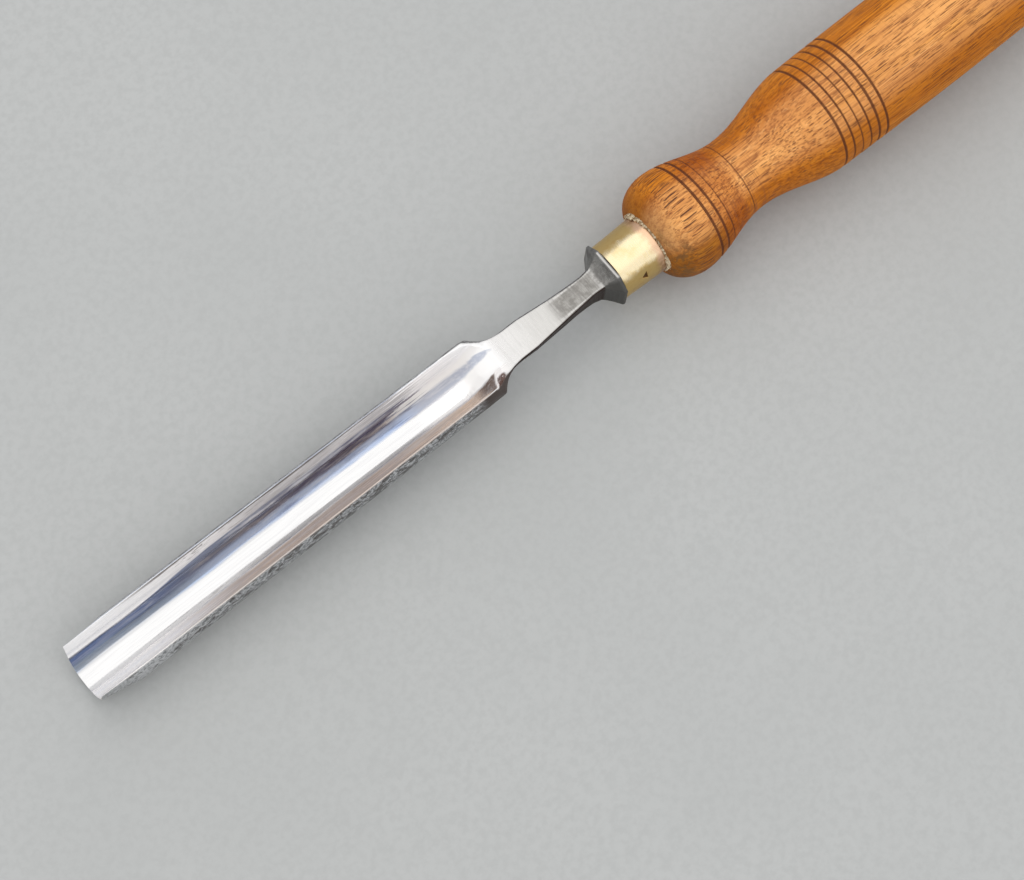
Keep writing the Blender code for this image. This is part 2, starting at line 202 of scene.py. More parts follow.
def land_half_width(x):
    if x <= BLADE_LENGTH:
        return rim_half_width(x)
    share = clamp((x - BLADE_LENGTH) / TAPER_LENGTH)
    neck = neck_half_width(x) - EDGE_BREAK
    width = neck + (SHOULDER_WIDTH / 2 - neck) * (1.0 - share) ** 2
    return mix(width, BOLSTER_WIDTH / 2 - BOLSTER_FACET, flare_share(x))


def rim_level(x):
    return ARC_RISE + rim_half_width(x) * math.sqrt(SWELL * SWELL - 1.0)


def neck_top_level(x):
    lift = NECK_LIFT * clamp((x - FLARE_START + 0.45 * NECK_LENGTH) / (0.45 * NECK_LENGTH)) ** 2
    return NECK_TOP + lift


def top_level(x):
    if x <= BLADE_LENGTH:
        return rim_level(x)
    share = clamp((x - BLADE_LENGTH) / (1.15 * SHOULDER_SLOPE))
    level = mix(neck_top_level(x), rim_level(BLADE_LENGTH), (1.0 - share) ** 1.8)
    return mix(level, BOLSTER_WIDTH / 2, flare_share(x))


def bottom_level(x):
    keel = ARC_RISE - SWELL * rim_half_width(x)
    climb = ease((x - BLADE_LENGTH + 0.010) / (0.010 + SHOULDER_SLOPE + 0.4 * NECK_LENGTH))
    level = mix(keel, -NECK_BELOW, climb)
    level -= NECK_DROP * clamp((x - FLARE_START + 0.42 * NECK_LENGTH) / (0.42 * NECK_LENGTH)) ** 2.2
    return mix(level, -BOLSTER_WIDTH / 2, flare_share(x))


def flute_floor_level(x):
    floor = ARC_RISE - SWELL * rim_half_width(x) + FLOOR_THICKNESS
    share = clamp((x - FLUTE_END + FLUTE_RUNOUT) / FLUTE_RUNOUT)
    return mix(floor, top_level(x), share ** 1.7)


def flute_points(x):
    """Half of the flute's section, from its edge to the middle of its floor, as (y, z, place).

    The section keeps its shape as it climbs out at the shoulder, where the top face cuts it off. place runs
    from 1 at the full section's rim to 0 at the middle.
    """
    mouth = rim_half_width(x) - LAND_WIDTH
    bowl = mouth - FLUTE_FLARE
    wall = rim_level(0.0) - ARC_RISE
    bowl_depth = rim_level(x) - wall - (ARC_RISE - SWELL * rim_half_width(x) + FLOOR_THICKNESS)
    wall_share = RISE_STEPS / HALF_STEPS
    top = top_level(x)
    floor = flute_floor_level(x)
    left = max(0.0, top - floor)
    points = []
    if left > bowl_depth:
        cut = wall_share * (1.0 - (left - bowl_depth) / wall)
        for step in range(HALF_STEPS + 1):
            q = cut + (1.0 - cut) * step / HALF_STEPS
            if q < wall_share:
                up = 1.0 - q / wall_share
                points.append((bowl + FLUTE_FLARE * up, floor + bowl_depth + wall * up, 1.0 - q))
            else:
                turn = math.pi / 2 * (q - wall_share) / (1.0 - wall_share)
                points.append((bowl * math.cos(turn), floor + bowl_depth * (1.0 - math.sin(turn)), 1.0 - q))
        return points
    land = land_half_width(x)
    reach = bowl * math.sqrt(1.0 - (1.0 - left / bowl_depth) ** 2)
    edge = min(reach, land - STEP_WIDTH * ease((x - STEP_START) / 0.002))
    edge = max(edge, 0.90 * land * ease((x - WIDEN_START) / 0.003))
    for step in range(HALF_STEPS + 1):
        y = edge * math.cos(math.pi / 2 * step / HALF_STEPS)
        turn = math.acos(min(1.0, y / bowl))
        z = min(top, floor + bowl_depth * (1.0 - math.sin(turn)))
        points.append((y, z, (1.0 - wall_share) * (1.0 - turn / (math.pi / 2))))
    return points


def round_points(x):
    land = land_half_width(x)
    side = side_half_width(x)
    top = top_level(x)
    bottom = bottom_level(x)
    lean = math.acos(1.0 / SWELL)
    points = []
    for step in range(HALF_STEPS + 1):
        if step <= RISE_STEPS:
            turn = lean * (1.0 - step / RISE_STEPS)
            bulge = (math.cos(turn) - math.cos(lean)) / (1.0 - math.cos(lean))
            points.append((mix(land, side, bulge), mix(ARC_RISE, top, math.sin(turn) / math.sin(lean))))
        else:
            turn = math.pi / 2 * (step - RISE_STEPS) / (HALF_STEPS - RISE_STEPS)
            points.append((side * math.cos(turn), mix(ARC_RISE, bottom, math.sin(turn))))
    return points


def along(start, end, steps):
    """Points from start, left out, to end, closer together at both ends so that corners stay crisp."""
    shares = [(1.0 - math.cos(math.pi * (k + 1) / steps)) / 2 for k in range(steps)]
    return [tuple(mix(a, b, share) for a, b in zip(start, end)) for share in shares]


def faceted_points(land, side, top, bottom, lower):
    drop = max(side - land, EDGE_BREAK)
    points = [(land, top)]
    points += along(points[-1], (side, top - drop), RISE_STEPS)
    points += along(points[-1], (side, bottom + lower), SIDE_STEPS)
    points += along(points[-1], (side - lower, bottom), CORNER_STEPS)
    points += along(points[-1], (0.0, bottom), HALF_BOTTOM_STEPS)
    return points


def outside_points(x):
    slim = mix(0.0034, 0.30 * NECK_BACK_WIDTH / 2, ease((x - NECK_START - 0.008) / 0.016))
    lower = mix(slim, BOLSTER_FACET, flare_share(x))
    faceted = faceted_points(land_half_width(x), side_half_width(x), top_level(x), bottom_level(x), lower)
    share = ease((x - BLADE_LENGTH) / (SHOULDER_SLOPE + 0.35 * NECK_LENGTH))
    return [(mix(a[0], b[0], share), mix(a[1], b[1], share)) for a, b in zip(round_points(x), faceted)]


def blade_stations():
    """Stations of the rings, close together where the form turns."""
    spans = (
        (0.0, BEVEL_LENGTH, 28),
        (BEVEL_LENGTH, BLADE_LENGTH - 0.012, 118),
        (BLADE_LENGTH - 0.012, NECK_START + 0.003, 62),
        (NECK_START + 0.003, FLARE_START - 0.003, 60),
        (FLARE_START - 0.003, RIM_START, 30),
    )
    stations = []
    for start, end, count in spans:
        stations += list(np.linspace(start, end, count))[1:]
    stations += [RIM_START + 0.00012, RIM_START + 0.00045, BOLSTER_BACK - 0.00012, BOLSTER_BACK]
    return [float(x) for x in stations]


def blade_ring(x):
    """One ring of the blade: the flute from its left rim to its right, then the outside back again."""
    inside = [point[:2] for point in flute_points(x)]
    if x < BEVEL_LENGTH:
        share = x / BEVEL_LENGTH
        thin = mix(EDGE_THICKNESS / FLOOR_THICKNESS, 1.0, share)
        full = outside_points(BEVEL_LENGTH)
        outside = [(mix(a[0], b[0], thin), mix(a[1], b[1], thin)) for a, b in zip(inside, full)]
        nose = NOSE_BULGE * (1.0 - share)
    else:
        outside = outside_points(x)
        nose = 0.0
    half = inside + [(-y, z) for y, z in reversed(inside[:-1])]
    skin = [(-y, z) for y, z in outside] + [(y, z) for y, z in reversed(outside[:-1])]
    return [(x + nose * abs(y / (EDGE_WIDTH / 2)) ** 3, y, z) for y, z in half + skin]


def add_object(name, data):
    made = bpy.data.objects.new(name, data)
    bpy.context.scene.collection.objects.link(made)
    return made


def mesh_piece(name, points, faces, sharp_degrees, values):
    """Makes a smooth shaded piece in the row frame. values are named numbers for every point."""
    mesh = bpy.data.meshes.new(name)
    mesh.from_pydata([TO_WORLD @ Vector(p) for p in points], [], faces)
    mesh.shade_smooth()
    mesh.set_sharp_from_angle(angle=math.radians(sharp_degrees))
    for key, numbers in values.items():
        layer = mesh.attributes.new(key, "FLOAT", "POINT")
        layer.data.foreach_set("value", np.asarray(numbers, np.float32))
    return add_object(name, mesh)


def soften(rings, rounds, first):
    """Rounds the corners of a stack of closed rings a little; rings before first keep their place."""
    for _ in range(rounds):
        across = (np.roll(rings, 1, axis=1) + np.roll(rings, -1, axis=1)) / 2
        lengthwise = rings.copy()
        lengthwise[1:-1] = (rings[:-2] + rings[2:]) / 2
        softer = 0.6 * rings + 0.2 * across + 0.2 * lengthwise
        rings[first:-1] = softer[first:-1]
    return rings


def build_blade():
    """Blade, shoulder, neck, bolster and tang, with honed and hammered unevenness."""
    stations = [TIP_INSET] + blade_stations()
    rings = np.array([blade_ring(x) for x in stations])
    count = rings.shape[1]
    flute = 2 * HALF_STEPS + 1
    rings = soften(rings, rounds=2, first=3)
    # Waves of the honed flute, a few hundredths of a millimetre deep, and the rougher outside
    for i, x in enumerate(stations):
        if x < CALM_FRONT or x > BOLSTER_BACK - CALM_BACK:
            continue
        fade = ease((x - CALM_FRONT) / 0.010) * (1.0 - 0.75 * ease((x - BLADE_LENGTH) / 0.008))
        for k in range(count):
            p = Vector(rings[i, k])
            side = Vector((0.0, p.y, p.z - ARC_RISE))
            if side.length < 1e-6:
                continue
            side.normalize()
            if k < flute:
                wave = noise.noise(Vector((x * 22.0, p.y * 160.0, p.z * 160.0 + 3.0)))
                push = WAVE_DEPTH_INSIDE * wave * fade
            else:
                wave = noise.noise(Vector((x * 260.0, p.y * 420.0, p.z * 420.0 + 9.0)))
                push = -WAVE_DEPTH_OUTSIDE * abs(wave) * min(1.0, fade + 0.4)
            rings[i, k] += push * np.array(side)
    points = [tuple(p) for p in rings.reshape(-1, 3)]
    faces = []
    rows = len(stations)
    for i in range(rows - 1):
        for k in range(count):
            n = (k + 1) % count
            faces.append((i * count + k, (i + 1) * count + k, (i + 1) * count + n, i * count + n))
    for k in range(2 * HALF_STEPS):
        facing = count - 1 - k
        faces.append((k, k + 1, facing - 1, facing))
    # Tang
    last = (rows - 1) * count
    ends = []
    for x, width in ((BOLSTER_BACK, TANG_WIDTH), (TANG_END, TANG_END_WIDTH)):
        half = width / 2
        ring = []
        for k in range(count):
            turn = math.pi / 2 - 2.0 * math.pi * (k - HALF_STEPS) / count
            reach = half / max(abs(math.cos(turn)), abs(math.sin(turn)))
            ring.append((x, -reach * math.cos(turn + math.pi), reach * math.sin(turn)))
        ends.append(len(points))
        points += ring
    for near, far in ((last, ends[0]), (ends[0], ends[1])):
        for k in range(count):
            n = (k + 1) % count
            faces.append((near + k, far + k, far + n, near + n))
    faces.append(tuple(ends[1] + k for k in range(count)))
    # What each point is: 0 on the flute and the ground top faces, 1 on the forged outside
    skin = np.ones(len(points))
    across = np.zeros(len(points))
    for i in range(rows):
        places = [point[2] for point in flute_points(stations[i])]
        for k in range(count):
            if k < flute:
                skin[i * count + k] = 0.0
                across[i * count + k] = -places[k] if k < HALF_STEPS else places[2 * HALF_STEPS - k]
            elif k in (flute, count - 1):
                skin[i * count + k] = 0.25
            else:
                across[i * count + k] = 1.0 if k < flute + HALF_STEPS else -1.0
    return mesh_piece("gouge_blade", points, faces, 40.0, {"skin": skin, "across": across})


def ring_grid(shape, closed):
    """Faces between rings, given how many rings and how many points in each; closed joins last to first."""
    height, width = shape
    faces = []
    for i in range(height if closed else height - 1):
        j = (i + 1) % height
        for k in range(width):
            n = (k + 1) % width
            faces.append((i * width + k, i * width + n, j * width + n, j * width + k))
    return faces


def turned_point(x, radius, angle):
    """angle runs from straight below, over the -Y side, to the top."""
    return (x, -radius * math.sin(angle), -radius * math.cos(angle))


def ferrule_angles():
    mark = math.pi - PUNCH_ANGLE
    angles = [2.0 * math.pi * k / 150 for k in range(150)]
    angles = [a for a in angles if abs(a - mark) > 0.26]
    angles += list(np.linspace(mark - 0.25, mark + 0.25, 60))
    return sorted(float(a) for a in angles)


def punch_depth(x, across):
    """Depth of the three-cornered mark at a point given along the axis and across it, from its tip."""
    dx = x - FERRULE_START - PUNCH_SETBACK
    slope = PUNCH_WIDTH / 2 / PUNCH_LENGTH
    run = math.hypot(1.0, slope)
    inside = min((slope * dx - across) / run, (slope * dx + across) / run, PUNCH_LENGTH - dx)
    return PUNCH_DEPTH * 0.9 * ease((inside + 0.00008) / 0.00035)


def build_ferrule():
    front = FERRULE_FRONT_DIAMETER / 2
    back = FERRULE_BACK_DIAMETER / 2
    inner = FERRULE_INNER_RADIUS
    round_edge = 0.00035
    profile = [(FERRULE_START, inner)] + [
        (FERRULE_START + round_edge * (1.0 - math.cos(turn)), front - round_edge * (1.0 - math.sin(turn)))
        for turn in (math.pi / 2 * k / 5 for k in range(6))
    ]
    middle = list(np.linspace(FERRULE_START + 0.0006, FERRULE_END - 0.0006, 36))
    middle += list(np.linspace(FERRULE_START + PUNCH_SETBACK - 0.0002,
                               FERRULE_START + PUNCH_SETBACK + PUNCH_LENGTH + 0.0002, 24))
    for x in sorted(set(round(float(v), 6) for v in middle)):
        share = (x - FERRULE_START) / FERRULE_LENGTH
        profile.append((x, mix(front, back, share ** 1.1)))
    profile += [
        (FERRULE_END - round_edge * (1.0 - math.sin(turn)), back - round_edge * (1.0 - math.cos(turn)))
        for turn in (math.pi / 2 * k / 5 for k in range(6))
    ]
    profile.append((FERRULE_END, inner))
    angles = ferrule_angles()
    mark = math.pi - PUNCH_ANGLE
    points = []
    dent = []
    for x, radius in profile:
        for angle in angles:
            reach = radius
            depth = 0.0
            if radius > inner + 0.0005:
                spot = Vector((x * 150.0, math.cos(angle) * 2.2, math.sin(angle) * 2.2))
                reach += 0.000045 * noise.noise(spot)
                depth = punch_depth(x, (angle - mark) * radius)
                # Metal thrown up round the mark
                reach += 0.00005 * bump_at(x, FERRULE_START + PUNCH_SETBACK + 0.0026, 0.0006) * bump_at(
                    angle, mark, 0.18)
                reach -= depth
            dent.append(depth / PUNCH_DEPTH)
            points.append(turned_point(x, reach, angle))
    faces = ring_grid((len(profile), len(angles)), True)
    return mesh_piece("gouge_ferrule", points, faces, 35.0, {"dent": dent})


def wave(start, end, share):
    return mix(start, end, (1.0 - math.cos(math.pi * share)) / 2)


def handle_radius(x):
    crest = WOOD_START + BEAD_CREST
    waist = WOOD_START + WAIST_SETBACK
    body = WOOD_START + BODY_START
    butt_start = BUTT - BUTT_ROUNDING
    if x < crest:
        lip = FERRULE_BACK_DIAMETER / 2 + GAP
        share = clamp((crest - x) / BEAD_CREST)
        return lip + (BEAD_DIAMETER / 2 - lip) * math.sqrt(1.0 - share * share)
    if x < waist:
        return wave(BEAD_DIAMETER, WAIST_DIAMETER, (x - crest) / (waist - crest)) / 2
    if x < body:
        return wave(WAIST_DIAMETER, BODY_DIAMETER, (x - waist) / (body - waist)) / 2
    if x < butt_start:
        return BODY_DIAMETER / 2 + BODY_SWELL * math.sin(math.pi * (x - body) / (butt_start - body))
    share = clamp((x - butt_start) / BUTT_ROUNDING)
    return mix(BUTT_FACE_DIAMETER / 2, BODY_DIAMETER / 2, math.sqrt(1.0 - share * share))


def handle_stations():
    crest = WOOD_START + BEAD_CREST
    stations = [crest - BEAD_CREST * math.cos(math.pi / 2 * k / 34) for k in range(35)]
    stations += list(np.linspace(crest, BUTT - BUTT_ROUNDING, 190))[1:]
    stations += [BUTT - BUTT_ROUNDING * (1.0 - math.sin(math.pi / 2 * k / 30)) for k in range(1, 31)]
    kept = []
    for x in stations:
        if all(abs(x - WOOD_START - c) > 0.62 * w for c, w, _ in GROOVES):
            kept.append(float(x))
    for c, w, _ in GROOVES:
        kept += [WOOD_START + c + w * s for s in SECTION_OF_GROOVE]
    return sorted(kept)


def groove_depth(x, angle):
    """Depth of the turned grooves, a little uneven round the handle."""
    depth = 0.0
    for k, (centre, width, deep) in enumerate(GROOVES):
        off = abs(x - WOOD_START - centre) / width
        if off < 0.5:
            uneven = 1.0 + 0.30 * noise.noise(Vector((math.cos(angle) * 1.7, math.sin(angle) * 1.7, 4.0 * k)))
            depth = max(depth, deep * uneven * (1.0 - ease(off / 0.5)))
    return depth


def build_handle():
    """Turned wood with its grooves, small dents and the crust left round the ferrule's back edge."""
    segments = 240
    stations = handle_stations()
    spin = [2.0 * math.pi * k / segments for k in range(segments)]
    points = []
    groove = []
    crust = []
    bore = ((TANG_END + 0.003, 0.0028), (FERRULE_START, 0.0048))
    spigot = ((FERRULE_START, SPIGOT_RADIUS), (WOOD_START, SPIGOT_RADIUS))
    for x, radius in bore + spigot:
        for angle in spin:
            points.append(turned_point(x, radius, angle))
            groove.append(0.0)
            crust.append(0.0)
    for x in stations:
        base = handle_radius(x)
        for angle in spin:
            c, s = math.cos(angle), math.sin(angle)
            depth = groove_depth(x, angle)
            radius = base - depth - VARNISH_INSET
            # Slightly out of round, with shallow knocks
            radius -= 0.00008 * abs(noise.noise(Vector((x * 30.0, c * 0.8, s * 0.8))))
            radius -= 0.00003 * abs(noise.noise(Vector((x * 160.0, c * 5.0, s * 5.0))))
            points.append(turned_point(x, radius, angle))
            groove.append(min(1.0, depth / GROOVE_DEPTH_MARKED))
            crust.append(0.0)
    rows = len(bore + spigot) + len(stations)
    faces = ring_grid((rows, segments), False)
    faces.append(tuple(range(segments)))
    faces.append(tuple(reversed(range((rows - 1) * segments, rows * segments))))
    # Crumbly filler in the corner behind the ferrule: thick on the upper left and low on the right
    start = len(points)
    lap = 420
    around = 14
    for k in range(lap):
        angle = 2.0 * math.pi * k / lap
        c, s = math.cos(angle), math.sin(angle)
        upper_left, low_right = bump_at(angle, 4.10, 0.62), bump_at(angle, 1.85, 0.38)
        heap = upper_left + 0.75 * low_right
        lump = noise.noise(Vector((c * 7.0, s * 7.0, 2.0)))
        out = 0.00050 + 0.00046 * heap + 0.00022 * lump
        long = 0.00078 + 0.00075 * heap + 0.00028 * lump
        for j in range(around):
            spin_angle = 2.0 * math.pi * j / around
            a, r = math.cos(spin_angle), math.sin(spin_angle)
            spot = Vector((c * 10.2 + 0.4 * a, s * 10.2 + 0.4 * r, 1.6 * a))
            rough = 1.0 + 0.55 * noise.noise(spot * 2.6) + 0.40 * noise.noise(spot * 6.3)
            x = WOOD_START + 0.00010 + 0.25 * long + long * a * rough
            radius = FERRULE_BACK_DIAMETER / 2 - 0.00010 + 0.5 * (long - 0.00062) + out * r * rough
            points.append(turned_point(x, radius, angle))
            groove.append(0.0)
            crust.append(1.0)
    faces += [tuple(start + n for n in face) for face in ring_grid((lap, around), True)]
    return mesh_piece("gouge_handle", points, faces, 40.0, {"groove": groove, "crust": crust})


class Nodes:
    """Adds and joins nodes. Numbers and colours may be plain values or other nodes' sockets."""

    def __init__(self, tree):
        self.tree = tree

    def add(self, kind):
        return self.tree.nodes.new(kind)

    def join(self, out, into):
        self.tree.links.new(out, into)

    def feed(self, value, into):
        if hasattr(value, "is_output"):
            self.join(value, into)
        else:
            into.default_value = (*value, 1.0) if isinstance(value, tuple) else value

    def spread(self, value, low, high, to_low=0.0, to_high=1.0):
        """Maps low..high of a number smoothly to another range, held at its ends."""
        node = self.add("ShaderNodeMapRange")
        node.interpolation_type = "SMOOTHSTEP"
        self.feed(value, node.inputs["Value"])
        for name, number in zip(("From Min", "From Max", "To Min", "To Max"), (low, high, to_low, to_high)):
            node.inputs[name].default_value = number
        return node.outputs["Result"]

    def between(self, value, rise, fall):
        """1 from the end of rise to the start of fall, 0 outside them."""
        return self.times(self.spread(value, *rise), self.spread(value, fall[1], fall[0]))

    def maths(self, kind, first, *others):
        """Works through several numbers from left to right."""
        for other in others:
            node = self.add("ShaderNodeMath")
            node.operation = kind
            self.feed(first, node.inputs[0])
            self.feed(other, node.inputs[1])
            first = node.outputs["Value"]
        return first

    def times(self, *values):
        return self.maths("MULTIPLY", *values)

    def plus(self, *values):
        return self.maths("ADD", *values)

    def minus(self, *values):
        return self.maths("SUBTRACT", *values)

    def larger(self, *values):
        return self.maths("MAXIMUM", *values)

    def size(self, value):
        return self.maths("ABSOLUTE", value, 0.0)

    def blend(self, share, a, b, kind="MIX"):
        node = self.add("ShaderNodeMix")
        node.data_type = "RGBA"
        node.blend_type = kind
        self.feed(share, node.inputs["Factor"])
        self.feed(a, node.inputs["A"])
        self.feed(b, node.inputs["B"])
        return node.outputs["Result"]


class Finish(Nodes):
    """A procedural material with a base colour painted in layers.

    Places are the tool's own: x runs from the cutting edge to the butt, left is +Y and the open flute is +Z.
    """

    def __init__(self, name):
        self.material = bpy.data.materials.new(name)
        self.material.use_nodes = True
        super().__init__(self.material.node_tree)
        self.shader = self.tree.nodes["Principled BSDF"]
        self.colour = None
        spot = self.add("ShaderNodeTexCoord")
        self.place = self.add("ShaderNodeMapping")
        self.place.vector_type = "POINT"
        self.place.inputs["Location"].default_value = TO_WORLD.inverted().translation
        self.place.inputs["Rotation"].default_value = (0.0, LEAN, 0.0)
        self.join(spot.outputs["Object"], self.place.inputs["Vector"])

    def stretched(self, scales, offset):
        """The tool's own coordinates, scaled per axis."""
        node = self.add("ShaderNodeMapping")
        node.inputs["Scale"].default_value = scales
        node.inputs["Location"].default_value = offset
        self.join(self.place.outputs["Vector"], node.inputs["Vector"])
        return node.outputs["Vector"]

    def noise(self, scales, offset=(0.0, 0.0, 0.0), detail=4.0, rough=0.55, distortion=0.0):
        """Noise with so many waves per metre along each axis."""
        node = self.add("ShaderNodeTexNoise")
        for name, number in (("Scale", 1.0), ("Detail", detail), ("Roughness", rough), ("Distortion", distortion)):
            node.inputs[name].default_value = number
        self.join(self.stretched(scales, offset), node.inputs["Vector"])
        return node.outputs["Fac"]

    def voronoi(self, scales, offset=(0.0, 0.0, 0.0)):
        node = self.add("ShaderNodeTexVoronoi")
        node.inputs["Scale"].default_value = 1.0
        self.join(self.stretched(scales, offset), node.inputs["Vector"])
        return node.outputs["Distance"]

    def paint(self, colour, *shares, kind="MIX"):
        """Lays a colour over what is there already, by the product of the shares."""
        self.colour = self.blend(self.times(*shares), self.colour, colour, kind)

    def axis(self, name):
        node = self.add("ShaderNodeSeparateXYZ")
        self.join(self.place.outputs["Vector"], node.inputs["Vector"])
        return node.outputs[name]

    def turn(self):
        """Angle round the tool's axis, zero on top and positive to the left."""
        return self.maths("ARCTAN2", self.axis("Y"), self.axis("Z"))

    def mark(self, name):
        node = self.add("ShaderNodeAttribute")
        node.attribute_name = name
        return node.outputs["Fac"]

    def bump(self, height, depth, strength=1.0):
        node = self.add("ShaderNodeBump")
        node.inputs["Strength"].default_value = strength
        node.inputs["Distance"].default_value = depth
        self.join(height, node.inputs["Height"])
        return node

    def give(self, rough, metallic, bumps):
        """Finishes the material; each bump lies on the one before it."""
        self.feed(self.colour, self.shader.inputs["Base Color"])
        self.feed(rough, self.shader.inputs["Roughness"])
        self.feed(metallic, self.shader.inputs["Metallic"])
        for node, upper in zip(bumps, (*bumps[1:], self.shader)):
            self.join(node.outputs["Normal"], upper.inputs["Normal"])
        return self.material


class Steel(Finish):
    """The blade, from its polished flute to the dull bolster."""

    def __init__(self):
        super().__init__("worked_steel")
        self.x = self.axis("X")
        self.y = self.axis("Y")
        self.skin = self.mark("skin")
        self.streak = self.noise((45.0, 1500.0, 1500.0), rough=0.6)
        self.broad = self.noise((30.0, 300.0, 300.0), (3.0, 1.0, 5.0), rough=0.6)
        self.mottle = self.noise((1100.0, 1900.0, 1900.0), detail=5.0, rough=0.7)
        self.clouds = self.noise((60.0, 420.0, 420.0), (7.0, 2.0, 0.0), detail=5.0, rough=0.65)
        self.patches = self.noise((240.0, 620.0, 620.0), (2.0, 9.0, 4.0), detail=5.0, rough=0.72)
        self.cross = self.noise((2600.0, 190.0, 190.0), detail=3.0)
        self.blot = self.noise((500.0, 500.0, 500.0), (8.0, 1.0, 3.0), detail=5.0, rough=0.65)
        # Place across the flute, -1 at the left rim, with edges that wander a little
        self.across = self.plus(self.mark("across"), self.spread(self.broad, 0.2, 0.8, -0.03, 0.03))
        self.left_wall = self.spread(self.across, -0.52, -0.60)
        self.walls = self.larger(self.left_wall, self.spread(self.across, 0.18, 0.24))
        # Place across the flute as seen by the left wall's painted reflection band, which is narrower further back
        self.nearer = self.across
        for start, end in ((0.060, 0.080), (0.122, 0.134)):
            self.nearer = self.minus(self.nearer, self.spread(self.x, start, end, 0.0, 0.03))
        # The pale lower part of the painted reflection band, which rises towards the shoulder
        climbing = self.minus(self.across, self.spread(self.x, 0.142, 0.151, 0.0, 0.07))
        self.lower = self.times(self.spread(climbing, -0.45, -0.38), self.spread(self.nearer, -0.20, -0.27))
        # Stains end at the shoulder on a slant
        self.slant = self.minus(self.x, self.times(self.y, 0.62))
        self.neck = self.spread(self.x, 0.1540, 0.1600)
        self.bolster = self.spread(self.x, FLARE_START + 0.0002, FLARE_START + 0.0008)


def paint_polish(f):
    """Polished flute with faint honing streaks, its upper walls brushed; the walls and the shoulder are near white,
    which shows under the film as painted reflection.
    """
    f.colour = f.blend(f.spread(f.streak, 0.35, 0.7), (0.79, 0.79, 0.79), (0.74, 0.74, 0.745))
    # Near white towards the shoulder: clean polish, and painted reflection from where the film starts
    f.paint((0.97, 0.97, 0.965), f.spread(f.x, 0.126, 0.136))
    # Painted reflection: the walls near white, the upper left one almost pure white, shown under the film in place
    # of the mirror
    f.paint((0.90, 0.90, 0.905), f.walls)
    f.paint((0.98, 0.98, 0.99), f.left_wall)


def paint_left_wall(f):
    """A painted reflection: a dark blue band from the edge on, mixed with violet brown patina in the middle, then
    clean again.
    """
    x, across, streak, clouds = f.x, f.across, f.streak, f.clouds
    # The pale part of the painted reflection ends in a point on the shoulder, the rest in streaks before it
    beside = f.larger(f.minus(f.y, 0.0030), 0.0)
    hollow = f.spread(f.plus(x, f.times(beside, 2.6)), 0.1576, 0.1566)
    ragged = f.plus(x, f.spread(streak, 0.32, 0.68, -0.010, 0.010))
    before = f.spread(ragged, 0.1290, 0.1230)
    middle = f.times(f.spread(x, 0.058, 0.092), before)
    # The painted dark blue band reaches further up the wall behind the first few centimetres
    higher = f.plus(across, f.spread(x, 0.022, 0.055, 0.0, 0.17))
    upper = f.times(f.spread(higher, -0.58, -0.52), f.spread(across, -0.34, -0.41))
    early = f.spread(x, 0.020, 0.060)
    painted_band_and_patina = f.blend(early, (0.112, 0.155, 0.29), (0.185, 0.22, 0.32))
    violet = f.blend(f.spread(streak, 0.42, 0.60), (0.085, 0.072, 0.122), (0.170, 0.172, 0.275))
    painted_band_and_patina = f.blend(f.times(middle, f.spread(clouds, 0.34, 0.56)), painted_band_and_patina, violet)
    pale = f.blend(early, (0.37, 0.47, 0.63), (0.50, 0.62, 0.86))
    pale = f.blend(f.times(middle, f.spread(clouds, 0.46, 0.66)), pale, (0.21, 0.27, 0.46))
    pale = f.blend(f.spread(x, 0.1210, 0.1330), pale, (0.50, 0.54, 0.64))
    # How whole the painted band is: patchy and streaked, but whole near the edge
    held = f.larger(f.spread(clouds, 0.30, 0.52, 0.50, 1.0), f.spread(x, 0.034, 0.026, 0.0, 0.92))
    held = f.times(held, f.spread(streak, 0.34, 0.56, 0.80, 1.0))
    # Painted reflection: the pale lower band, then the dark blue band above it, with violet brown patina in its
    # middle
    f.paint(pale, f.lower, hollow, held)
    f.paint(painted_band_and_patina, upper, before, held)
    # Painted reflection: grey over the left wall's reflection in the middle
    painted_grey_reflection = f.times(f.spread(higher, -0.50, -0.58), f.spread(x, 0.048, 0.078), before)
    f.paint((0.50, 0.495, 0.51), painted_grey_reflection, f.spread(clouds, 0.25, 0.60, 0.50, 0.95))
    # Dark spots under the rim
    spots = f.noise((320.0, 1500.0, 1500.0), (1.0, 4.0, 2.0), detail=5.0, rough=0.72)
    rim = f.times(f.spread(across, -0.72, -0.84), f.between(x, (0.022, 0.050), (0.104, 0.116)))
    patchy = f.spread(clouds, 0.52, 0.60, 0.10, 0.80)
    f.paint((0.16, 0.14, 0.14), rim, f.spread(spots, 0.48, 0.60), patchy)


def paint_right_wall(f):
    """Warmer than the left, with a stained strip below its rim and a tan bloom towards the shoulder."""
    x, across, streak = f.x, f.across, f.streak
    f.paint((0.89, 0.865, 0.85), f.spread(across, 0.18, 0.24))
    strip = f.times(f.spread(across, 0.50, 0.66), f.spread(streak, 0.30, 0.62, 0.35, 1.0))
    f.paint((0.60, 0.545, 0.49), strip, f.spread(x, 0.110, 0.070))
    # The bloom ends in dark brown
    tan = f.blend(f.spread(f.broad, 0.38, 0.62), (0.60, 0.455, 0.355), (0.47, 0.385, 0.335))
    burnt = f.times(f.spread(x, 0.1440, 0.1490), f.spread(f.clouds, 0.25, 0.5, 0.6, 1.0))
    tan = f.blend(burnt, tan, (0.105, 0.065, 0.050))
    wall = f.between(across, (0.20, 0.25), (0.90, 0.99))
    bloom = f.times(wall, f.spread(x, 0.020, 0.062), f.spread(f.slant, 0.1557, 0.1548))
    f.paint(tan, bloom, f.spread(streak, 0.3, 0.6, 0.8, 1.0))
    line = f.times(f.between(across, (0.17, 0.20), (0.22, 0.25)), f.between(x, (0.085, 0.105), (0.149, 0.152)))
    f.paint((0.42, 0.41, 0.44), line, 0.55)


